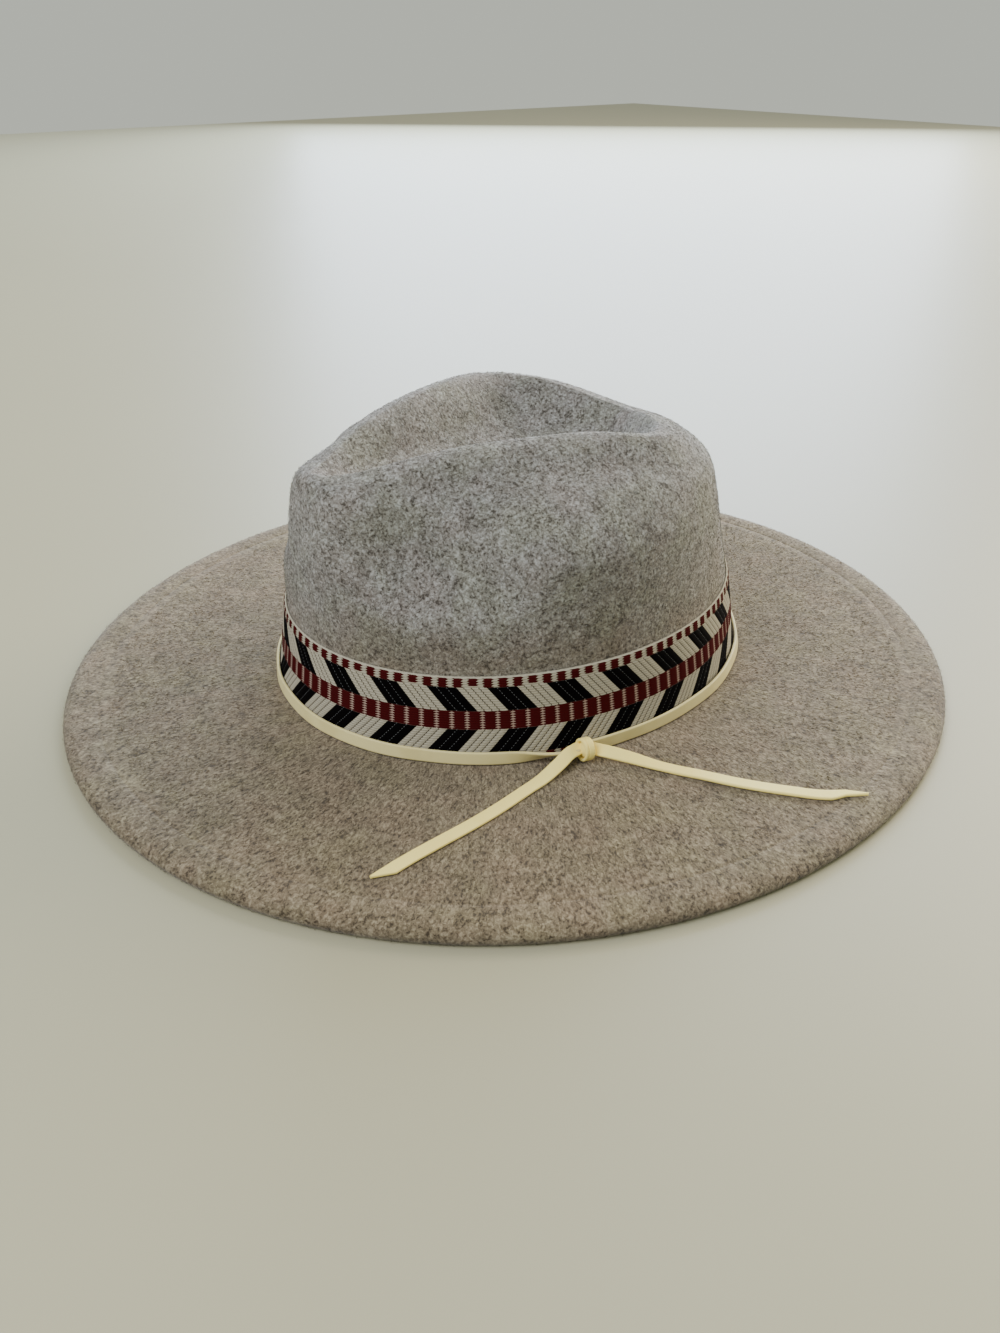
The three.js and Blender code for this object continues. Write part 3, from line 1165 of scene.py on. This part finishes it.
@dataclass
class FeltHat:
    """Crown and brim: one felt shell, hollow, with its edge folded under."""

    block: HatBlock
    name: str = "felt_shell"

    def outside(self) -> tuple[np.ndarray, np.ndarray]:
        """Loops of the upper side, and their normals.

        Returns:
            Both, as (loop, place in the loop, xyz).
        """
        loops = self.block.outside()
        loops = self.block.relaxed(loops, grid_normals(loops))
        return loops, grid_normals(loops)

    def build(self, material: bpy.types.Material) -> bpy.types.Object:
        """Model the shell.

        Args:
            material: The felt.

        Returns:
            The finished piece.
        """
        block = self.block
        outside, normals = self.outside()
        normals[-1] = UP
        inside = (outside - normals * block.thickness)[::-1][::2]
        under = block.brim_top - block.thickness
        welt = np.array([block.brim_oval(block.welt_width + 2 * block.groove_half_width, under),
                         block.brim_oval(block.welt_width + block.groove_half_width,
                                         block.fold_rise),
                         block.brim_oval(block.welt_width, 0.0)])
        loops = np.concatenate([inside, welt, block.edge(), block.groove(), outside])
        piece = skin(self.name, loops, turn_out=False)
        return hand_over(piece, Slot.FELT, material, "felt_body")


@dataclass
class WoolNap:
    """Loose fibres that stand a little off the felt, scattered over part of it."""

    name: str
    rows: slice
    count: int
    seed: int
    combed: float = 0.0
    length: Span = (0.8, 2.0)
    radius: Span = (0.045, 0.085)
    lift: Span = (0.04, 0.42)
    curl: float = 0.22
    root: float = 0.05

    def scatter(self, loops: np.ndarray, normals: np.ndarray,
                chance: np.random.Generator) -> tuple[np.ndarray, np.ndarray, np.ndarray]:
        """Choose places on the felt, evenly by area.

        Args:
            loops: Points of the upper side.
            normals: Its normals.
            chance: Source of the random draws.

        Returns:
            Places, normals and unit directions along the profile.
        """
        around = np.roll(loops, -1, axis=1) - loops
        along = np.diff(loops, axis=0)
        area = np.linalg.norm(np.cross(around[:-1], along), axis=2).ravel()
        chosen = chance.choice(len(area), self.count, p=area / area.sum())
        row, place = np.divmod(chosen, loops.shape[1])
        after = (place + 1) % loops.shape[1]
        s, t = chance.random((2, self.count, 1))

        def blend(values: np.ndarray) -> np.ndarray:
            """Value at each chosen place.

            Args:
                values: A value at every point of the felt.

            Returns:
                One row for each fibre.
            """
            low = values[row, place] * (1 - s) + values[row, after] * s
            high = values[row + 1, place] * (1 - s) + values[row + 1, after] * s
            return low * (1 - t) + high * t

        return blend(loops), unit(blend(normals)), unit(along[row, place])

    def build(self, loops: np.ndarray, normals: np.ndarray,
              material: bpy.types.Material) -> bpy.types.Object:
        """Model every fibre as a small bent spindle, all in one piece.

        Args:
            loops: Points of the felt's upper side.
            normals: Its normals.
            material: The fibre.

        Returns:
            The finished piece.
        """
        chance = np.random.default_rng(self.seed)
        root, facing, comb = self.scatter(loops[self.rows], normals[self.rows], chance)
        count = self.count
        free = chance.normal(size=(count, 3))
        ahead = free + comb * self.combed * np.sign(chance.normal(size=(count, 1)))
        ahead = unit(ahead - facing * np.einsum("ij,ij->i", ahead, facing)[:, None])
        side = np.cross(facing, ahead)
        length = chance.uniform(*self.length, (count, 1))
        radius = chance.uniform(*self.radius, (count, 1))
        lift = chance.uniform(*self.lift, (count, 1)) ** 1.5
        curl = chance.normal(0.0, self.curl, (count, 1))
        start = root - facing * self.root
        middle = root + ahead * length * 0.5 + facing * length * lift + side * length * curl
        end = root + ahead * length * (1 - 0.3 * np.abs(curl)) + facing * length * lift * 0.6
        ring = [middle + radius * (facing * math.cos(turn) + side * math.sin(turn))
                for turn in (0.0, 2 * math.pi / 3, 4 * math.pi / 3)]
        points = np.stack([start, end, *ring], axis=1).reshape(-1, 3) * MM
        one = np.array([(0, 3, 2), (0, 4, 3), (0, 2, 4), (1, 2, 3), (1, 3, 4), (1, 4, 2)])
        faces = (one[None] + 5 * np.arange(count)[:, None, None]).reshape(-1, 3)
        mesh = bpy.data.meshes.new(self.name)
        mesh.vertices.add(len(points))
        mesh.vertices.foreach_set("co", points.astype(np.float32).ravel())
        mesh.loops.add(faces.size)
        mesh.loops.foreach_set("vertex_index", faces.ravel().astype(np.int32))
        mesh.polygons.add(len(faces))
        mesh.polygons.foreach_set("loop_start", np.arange(0, faces.size, 3, dtype=np.int32))
        mesh.update(calc_edges=True)
        tone = np.repeat(chance.beta(2.0, 1.7, count), 5).astype(np.float32)
        mesh.attributes.new(WoolFibre.tone, "FLOAT", "POINT").data.foreach_set("value", tone)
        return hand_over(linked(self.name, mesh), Slot.FELT, material)


def lay_nap(hat: FeltHat, material: bpy.types.Material) -> None:
    """Scatter loose fibres over the brim, the crown and the outside of the edge.

    Args:
        hat: The felt that they stand on.
        material: The fibre.
    """
    block = hat.block
    loops, normals = hat.outside()
    crown_from = len(block.flat()) + len(block.turn())
    brim, crown = slice(0, len(block.flat())), slice(crown_from, len(loops) - 1)
    for name, rows, count, seed, combed in (
            ("brim_nap_a", brim, 26000, 11, 1.6), ("brim_nap_b", brim, 26000, 12, 1.6),
            ("crown_nap_a", crown, 24000, 13, 0.0), ("crown_nap_b", crown, 24000, 14, 0.0)):
        WoolNap(name, rows, count, seed, combed).build(loops, normals, material)
    edge = np.concatenate([block.edge()[block.bare_under:], block.groove()])
    WoolNap("edge_nap", slice(None), 8000, 15).build(edge, grid_normals(edge), material)


# Band

@dataclass(frozen=True)
class BandChart:
    """The weaving chart: columns round the band and rows up it, mirrored about its middle.

    Every 16 columns hold one black and one cream slant stripe, four squares of each border
    and four blocks of the middle stripe. Heights are rows from the band's middle, and the
    lower slants run on a little further than the upper ones.
    """

    columns: int = 416
    rows: float = 35.0
    repeat: float = 16.0
    square: float = 4.0
    middle: float = 3.8
    slants: float = 13.35
    short_square: float = 14.1
    selvedge: float = 17.0
    square_width: float = 2.55
    ahead: float = 6.4
    drop: float = 1.2
    slant: float = 0.57
    black_from: float = 6.4
    block_from: float = -0.75
    black_ribs: tuple[float, ...] = (2.6, 5.25)
    cream_ribs: tuple[float, ...] = (9.9, 11.9, 13.9)
    rib_gap: float = 0.34
    block_middle: float = 2.5
    block_half: float = 1.5

    def relief(self, column: np.ndarray, row: np.ndarray) -> np.ndarray:
        """Height of the woven face over its ground, from 0 to about 1.

        Args:
            column: Columns, from 0 to the number of columns.
            row: Rows, from 0 at the lower selvedge.

        Returns:
            Heights.
        """
        def float_top(value: np.ndarray, middle: float, half: float) -> np.ndarray:
            """Rounded top of a float, from 1 at its middle to 0 at its ends."""
            return np.clip(1.0 - np.abs((value - middle) / half) ** 4, 0.0, 1.0)

        column = column - self.ahead
        up = np.abs(row - self.rows / 2)
        thread = np.abs(np.sin(np.pi * row))
        stripe = np.mod(column + self.slant * (up - self.middle) - self.black_from, self.repeat)
        beyond = up - np.where(row < self.rows / 2, self.drop, 0.0)
        in_slants = (up > self.middle) & (beyond < self.slants)
        black = in_slants & (stripe < self.repeat / 2)
        groove = np.zeros_like(column + row)
        for rib in (*self.black_ribs, *self.cream_ribs, 0.0, self.repeat / 2, self.repeat):
            groove = np.maximum(groove, np.exp(-((stripe - rib) / self.rib_gap) ** 2))
        block = float_top(np.mod(column - self.block_from, self.square),
                          self.block_middle, self.block_half)
        square = float_top(np.mod(column, self.square),
                           self.square_width / 2, self.square_width / 2)
        height = 0.35 + 0.4 * thread
        height = np.where(in_slants, 0.75 - 0.45 * groove + 0.22 * thread, height)
        height = np.where(black, 0.85 - 0.5 * groove + 0.10 * thread, height)
        height = np.where(up <= self.middle, 0.3 + 0.5 * block + 0.22 * thread, height)
        in_squares = (beyond > self.slants) & (up < self.selvedge)
        return np.where(in_squares, 0.35 + 0.4 * square + 0.25 * thread, height)


class WeaveShader(Shader):
    """A material that knows each point's place in the weaving chart."""

    def __init__(self, name: str, uv: str, chart: BandChart) -> None:
        """Start the material and read the places.

        Args:
            name: The material's name.
            uv: The UV map that holds columns round the band and rows up it.
            chart: The chart.
        """
        super().__init__(name)
        weave = self.node("ShaderNodeUVMap", uv_map=uv).outputs["UV"]
        column, self.row, _ = self.split(weave)
        lower = self.math("LESS_THAN", self.row, chart.rows / 2)
        self.column = self.minus(column, chart.ahead)
        self.up = self.size(self.minus(self.row, chart.rows / 2))
        self.beyond = self.minus(self.up, self.times(lower, chart.drop))
        self.cycle = self.math("FRACT", self.row)
        self.zigzag = self.math("PINGPONG", self.row, 0.5)
        self.fleck = self.noise(weave, 5.0, 3.0, 0.6)


@dataclass(frozen=True)
class WovenYarn:
    """Finish of the woven band: black, cream and dark red yarns laid by the chart."""

    chart: BandChart
    name: str = "woven_yarn"
    uv: str = "weave"
    cream: Colour = (0.43, 0.395, 0.31)
    cream_fleck: Colour = (0.86, 0.85, 0.80)
    # Painted shade for the weave's recesses, between the rows of thread and along the grooves
    # between ribs
    groove: Colour = (0.060, 0.050, 0.034)
    red: Colour = (0.060, 0.0045, 0.005)
    red_fleck: float = 0.55
    black: Colour = (0.0015, 0.0010, 0.0012)
    thread: Colour = (0.24, 0.25, 0.25)
    blush: Colour = (0.30, 0.15, 0.13)
    groove_zigzag: float = 0.55
    square_zigzag: float = 1.5
    gap_shift: float = 0.36
    gap_least: float = 0.04
    gap_more: float = 0.74
    tooth_slope: float = 2.6

    def cream_yarn(self, weave: WeaveShader, stripe: bpy.types.NodeSocket,
                   in_slants: bpy.types.NodeSocket) -> bpy.types.NodeSocket:
        """Cream rows with painted shade: dark lines between them and along each groove, in the
        weave's recesses.

        Args:
            weave: The material.
            stripe: Place across a pair of slant stripes.
            in_slants: 1 where the slants run.

        Returns:
            The colour.
        """
        painted_shade_between_rows = weave.minus(1.0, weave.within(weave.cycle, 0.14, 0.88, 0.10))
        cream = weave.mix(weave.times(painted_shade_between_rows, 0.8), self.cream, self.groove)
        darker = tuple(share * part for share, part in zip(self.cream_fleck, self.cream))
        cream = weave.mix(weave.above(weave.fleck, 0.5, 0.25), darker, cream)
        stepped = weave.plus(stripe, weave.times(weave.zigzag, self.groove_zigzag))
        # Painted shade along each groove between the cream ribs
        for rib in self.chart.cream_ribs:
            line = weave.times(in_slants, weave.within(stepped, rib - 0.02, rib + 0.30, 0.10))
            cream = weave.mix(weave.times(line, 0.95), cream, self.groove)
        return cream

    def slants(self, weave: WeaveShader) -> bpy.types.NodeSocket:
        """Black and cream slant stripes, with dashes of pale thread on the black.

        Args:
            weave: The material.

        Returns:
            The colour.
        """
        chart = self.chart
        slanted = weave.plus(weave.column, weave.times(weave.up, chart.slant))
        start = chart.slant * chart.middle + chart.black_from
        stripe = weave.wrapped(weave.minus(slanted, start), chart.repeat)
        in_slants = weave.times(weave.above(weave.up, chart.middle),
                                weave.below(weave.beyond, chart.slants))
        black = weave.times(in_slants, weave.within(stripe, 0.0, chart.repeat / 2, 0.07))
        colour = weave.mix(black, self.cream_yarn(weave, stripe, in_slants), self.black)
        for rib in chart.black_ribs:
            dash = weave.times(black, weave.within(stripe, rib - 0.06, rib + 0.06))
            dash = weave.times(dash, weave.within(weave.cycle, 0.15, 0.62, 0.08))
            colour = weave.mix(weave.times(dash, 0.8), colour, self.thread)
        return colour

    def blocks(self, weave: WeaveShader,
               in_middle: bpy.types.NodeSocket) -> bpy.types.NodeSocket:
        """Red blocks of the middle stripe, parted by gaps with a tooth in each row.

        Args:
            weave: The material.
            in_middle: 1 in the middle stripe.

        Returns:
            1 where the yarn is red.
        """
        chart = self.chart
        start = chart.block_from + self.gap_shift - chart.square / 2
        place = weave.wrapped(weave.minus(weave.column, start), chart.square)
        from_gap = weave.size(weave.minus(place, chart.square / 2))
        from_row = weave.size(weave.minus(weave.cycle, 0.5))
        tooth = weave.math("MAXIMUM", weave.minus(1.0, weave.times(self.tooth_slope, from_row)),
                           0.0)
        reach = weave.plus(self.gap_least, weave.times(self.gap_more, tooth))
        return weave.times(in_middle, weave.above(weave.minus(from_gap, reach), 0.0))

    def squares(self, weave: WeaveShader) -> bpy.types.NodeSocket:
        """Red squares of both borders, every fourth of them short.

        Args:
            weave: The material.

        Returns:
            1 where the yarn is red.
        """
        chart = self.chart
        shifted = weave.plus(weave.column, weave.times(weave.zigzag, self.square_zigzag))
        square = weave.wrapped(weave.minus(shifted, self.square_zigzag / 4), chart.square)
        tall = weave.below(weave.wrapped(weave.column, chart.repeat), 3 * chart.square - 0.5)
        start = weave.plus(chart.short_square,
                           weave.times(tall, chart.slants - chart.short_square))
        in_border = weave.times(weave.math("GREATER_THAN", weave.beyond, start),
                                weave.below(weave.up, chart.selvedge))
        return weave.times(in_border, weave.within(square, 0.0, chart.square_width))

    def material(self) -> bpy.types.Material:
        """Make the material.

        Returns:
            The material.
        """
        weave = WeaveShader(self.name, self.uv, self.chart)
        in_middle = weave.below(weave.up, self.chart.middle, 0.06)
        colour = weave.mix(weave.times(in_middle, 0.55), self.slants(weave), self.blush)
        red = weave.math("MAXIMUM", self.blocks(weave, in_middle), self.squares(weave))
        darker = tuple(self.red_fleck * part for part in self.red)
        reds = weave.mix(weave.above(weave.fleck, 0.5, 0.3), self.red, darker)
        weave.set(Base_Color=weave.mix(red, colour, reds), Roughness=0.9,
                  Specular_IOR_Level=0.04)
        ribs = weave.size(weave.math("SINE", weave.times(weave.row, math.pi)))
        weave.bump(weave.plus(ribs, weave.times(weave.fleck, 0.8)), 0.10, 0.7)
        return weave.material


@dataclass
class WovenBand:
    """Woven band round the foot of the crown, with its floats raised."""

    block: HatBlock
    chart: BandChart
    bottom: float = 6.1
    top: float = 38.8
    uneven_degrees: float = 0.6
    uneven_turns: float = 3.0
    uneven_from: float = 28.0
    clearance: float = 0.3
    ground: float = 0.5
    float_height: float = 0.5
    scallop: float = 0.10
    edge_rows: float = 1.2
    edge_least: float = 0.15
    steps_a_column: float = 2.5
    rows_a_thread: int = 2

    def angles(self, count: int) -> np.ndarray:
        """Angles from the front that part the band's length, stretched a little unevenly.

        Args:
            count: Number of parts.

        Returns:
            Angles in degrees, one more than the parts.
        """
        fine = np.linspace(0.0, 360.0, 7201)
        middle = self.block.seat_point(fine, (self.bottom + self.top) / 2, self.ground)
        run = run_lengths(middle)
        even = np.interp(np.linspace(0.0, run[-1], count + 1), run, fine)
        turned = np.radians(self.uneven_turns * (even - self.uneven_from))
        return even + self.uneven_degrees * np.cos(turned)

    def mark(self, mesh: bpy.types.Mesh, uv: str, columns: np.ndarray,
             rows: np.ndarray) -> None:
        """Write each corner's column and row to a UV map.

        Args:
            mesh: The band's mesh.
            uv: The map's name.
            columns: Column at each step round the band, and at its end.
            rows: Row of each loop, and of the first again.
        """
        row, step = np.divmod(np.arange(len(mesh.polygons)), len(columns) - 1)
        corners = np.stack([columns[step[:, None] + (0, 1, 1, 0)],
                            rows[row[:, None] + (0, 0, 1, 1)]], axis=-1)
        layer = mesh.uv_layers.new(name=uv)
        layer.data.foreach_set("uv", corners.astype(np.float32).ravel())

    def build(self, yarn: WovenYarn) -> bpy.types.Object:
        """Model the band.

        Args:
            yarn: Its finish, which reads the chart from the band's own UV map.

        Returns:
            The finished piece.
        """
        chart = self.chart
        count = int(chart.columns * self.steps_a_column)
        degrees = self.angles(count)[:-1]
        columns = np.linspace(0.0, chart.columns, count + 1)
        rows = np.linspace(0.0, chart.rows, int(self.rows_a_thread * chart.rows) + 1)
        relief = chart.relief(columns[None, :-1], rows[:, None])
        heights = between(self.bottom, self.top, rows / chart.rows)
        scallop = self.scallop * np.cos(np.pi * columns[:-1])
        loops = [self.block.seat_point(degrees, self.bottom, self.clearance)]
        for row, height, floats in zip(rows, heights, relief):
            from_edge = min(row, chart.rows - row)
            share = math.sqrt(min(1.0, from_edge / self.edge_rows))
            full = between(self.edge_least, 1.0, share)
            offset = self.clearance + full * (self.ground + self.float_height * floats)
            level = height + (scallop if from_edge == 0.0 else 0.0)
            loops.append(self.block.seat_point(degrees, level, offset))
        loops.append(self.block.seat_point(degrees, self.top, self.clearance))
        faces = skin_faces(len(loops), count, ring=True).tolist()
        mesh = loop_mesh("woven_band_cloth", np.array(loops), faces)
        self.mark(mesh, yarn.uv, columns, np.array([0.0, *rows, chart.rows, 0.0]))
        piece = tidy_shell(linked("woven_band_cloth", mesh), 70.0, turn_out=False)
        return hand_over(piece, Slot.BAND, yarn.material(), "woven_band")


@dataclass
class LaceLoop:
    """Lace round the foot of the band: one strip on edge that runs into the knot."""

    block: HatBlock
    knot_angle: float = 70.0
    gap_angle: float = 1.2
    width: float = 5.0
    thickness: float = 1.2
    offset: float = 2.35
    foot: float = 5.75
    pulled: float = 2.4
    raised: float = 0.9
    twist: float = 1.7
    near_knot: Span = (344.0, 358.0)
    slack: float = 0.4
    slack_start: Span = (10.0, 45.0)
    slack_end: Span = (120.0, 190.0)
    ripples: tuple[Span, ...] = ((0.15, 7.0), (0.1, 17.0))
    lean: float = 0.14
    sway: float = 0.1
    sway_turns: float = 3.0
    sway_start: float = 40.0
    steps: int = 260

    def build(self, material: bpy.types.Material) -> bpy.types.Object:
        """Model the loop.

        Args:
            material: The lace.

        Returns:
            The finished piece.
        """
        degrees = np.linspace(self.knot_angle + self.gap_angle,
                              self.knot_angle + 360.0 - self.gap_angle, self.steps)
        from_knot = degrees - self.knot_angle
        near = smooth_step(from_knot, *self.near_knot)
        slack = self.slack * smooth_step(from_knot, *self.slack_start)
        slack = slack * (1 - smooth_step(from_knot, *self.slack_end)) + self.pulled * near
        ripple = sum(size * np.sin(np.radians(degrees * turns)) for size, turns in self.ripples)
        middle_height = self.foot + self.width / 2 + self.raised * near
        path = self.block.seat_point(degrees, middle_height, self.offset + slack + ripple)
        ahead = unit(np.gradient(path, axis=0))
        sway = self.sway * np.sin(np.radians(degrees * self.sway_turns + self.sway_start))
        lean = self.lean + sway - self.twist * near
        up = unit(UP - np.cross(ahead, UP) * lean[:, None])
        rings = strip_rings(path, up, np.cross(ahead, up), np.full(self.steps, self.width / 2),
                            self.thickness / 2)
        piece = skin("lace_round_band", rings, caps=True, smooth_degrees=50.0)
        return hand_over(piece, Slot.LACE, material, "lace_loop")


class Wrap(NamedTuple):
    """One turn of the lace in the knot, pulled in from the knot's full size."""

    name: str
    along: float
    width: float
    pulled_in: float
    pulled_down: float
    slant: float
    slant_from: float
    nodes: tuple[str, ...] = ()


@dataclass
class LaceKnot:
    """Knot: turns of the lace pulled tight round a core."""

    block: HatBlock
    angle: float = 70.0
    depth: float = 9.8
    height: float = 9.0
    length: float = 5.0
    thickness: float = 1.1
    stand_off: float = 1.7
    foot: float = 5.7
    pinch: float = 0.14
    pinch_from: float = 0.6
    core_inset: Place = (1.7, 0.4, 1.0)
    steps: int = 48
    wraps: tuple[Wrap, ...] = (
        Wrap("lace_knot_wrap", 0.35, 2.7, 0.9, 0.0, 0.6, 0.4, ("lace_knot",)),
        Wrap("lace_knot_turn", -1.45, 1.5, 0.75, 0.05, 0.5, 0.4),
    )

    def axes(self) -> tuple[np.ndarray, np.ndarray, np.ndarray]:
        """Middle of the knot, the way out from the band and the way along it.

        Returns:
            Three rows of xyz.
        """
        angle = math.radians(self.angle)
        out = unit(np.array((self.block.foot_half_length * math.sin(angle),
                             -self.block.foot_half_width * math.cos(angle), 0.0)))
        middle = self.block.seat_point(np.array(self.angle), self.foot + self.height / 2, 0.0)
        return middle + out * (self.stand_off + self.depth / 2), out, np.cross(UP, out)

    def wrap(self, turn: Wrap, material: bpy.types.Material) -> None:
        """Model one turn of the lace.

        Args:
            turn: Its place and size.
            material: The lace.
        """
        middle, out, along = self.axes()
        angle = np.linspace(0.0, 2 * np.pi, self.steps, endpoint=False)
        outward, upward = np.cos(angle)[:, None] * out, np.sin(angle)[:, None] * UP
        shift = turn.along + turn.slant * np.cos(angle - turn.slant_from)
        path = (middle + outward * ((self.depth - self.thickness) / 2 - turn.pulled_in)
                + upward * ((self.height - self.thickness) / 2 - turn.pulled_down)
                + along * shift[:, None])
        pinch = 1.0 - self.pinch * np.cos(angle - self.pinch_from) ** 2
        rings = strip_rings(path, np.broadcast_to(along, path.shape), outward + upward,
                            turn.width / 2 * pinch, self.thickness / 2)
        piece = skin(turn.name, rings, ring=True, smooth_degrees=60.0)
        hand_over(piece, Slot.LACE, material, *turn.nodes)

    def core(self, material: bpy.types.Material) -> None:
        """Model the core that the turns are pulled round.

        Args:
            material: The lace.
        """
        middle, out, along = self.axes()
        deselect()
        bpy.ops.mesh.primitive_uv_sphere_add(segments=24, ring_count=14, radius=MM)
        core = bpy.context.object
        core.name = "lace_knot_core"
        sides = (self.depth, self.length, self.height)
        half = [side / 2 - inset for side, inset in zip(sides, self.core_inset)]
        turn = Matrix([Vector(way * reach) for way, reach in zip((out, along, UP), half)])
        core.data.transform(Matrix.Translation(Vector(middle * MM)) @ turn.transposed().to_4x4())
        hand_over(tidy_shell(core), Slot.LACE, material)

    def build(self, material: bpy.types.Material) -> None:
        """Model the knot.

        Args:
            material: The lace.
        """
        for turn in self.wraps:
            self.wrap(turn, material)
        self.core(material)


def main() -> None:
    """Build the hat, piece by piece."""
    logging.basicConfig(level=logging.INFO, format="%(name)s: %(message)s", stream=sys.stdout)
    Studio().build()
    lace = SmoothLace().material()
    LaceEnd("lace_tail_front", "lace_end_front", FRONT_ROUTE, CutEnd(-3.5, 3.4),
            97.0, roll=-30.0).build(lace)
    LaceEnd("lace_tail_back", "lace_end_back", BACK_ROUTE, CutEnd(7.7, -5.4),
            100.0, roll=30.0, tip_turn=-16.0).build(lace)
    block = HatBlock()
    hat = FeltHat(block)
    felt = WoolFelt()
    hat.build(felt.material())
    lay_nap(hat, WoolFibre(felt).material())
    chart = BandChart()
    WovenBand(block, chart).build(WovenYarn(chart))
    # Painted shade: the lace that stands on edge round the band is a darker copy of the same cream
    # lace
    LaceLoop(block).build(SmoothLace("cream_lace_painted_shade", (0.70, 0.60, 0.27),
                                     (0.64, 0.54, 0.23)).material())
    LaceKnot(block).build(lace)


if __name__ == "__main__":
    main()
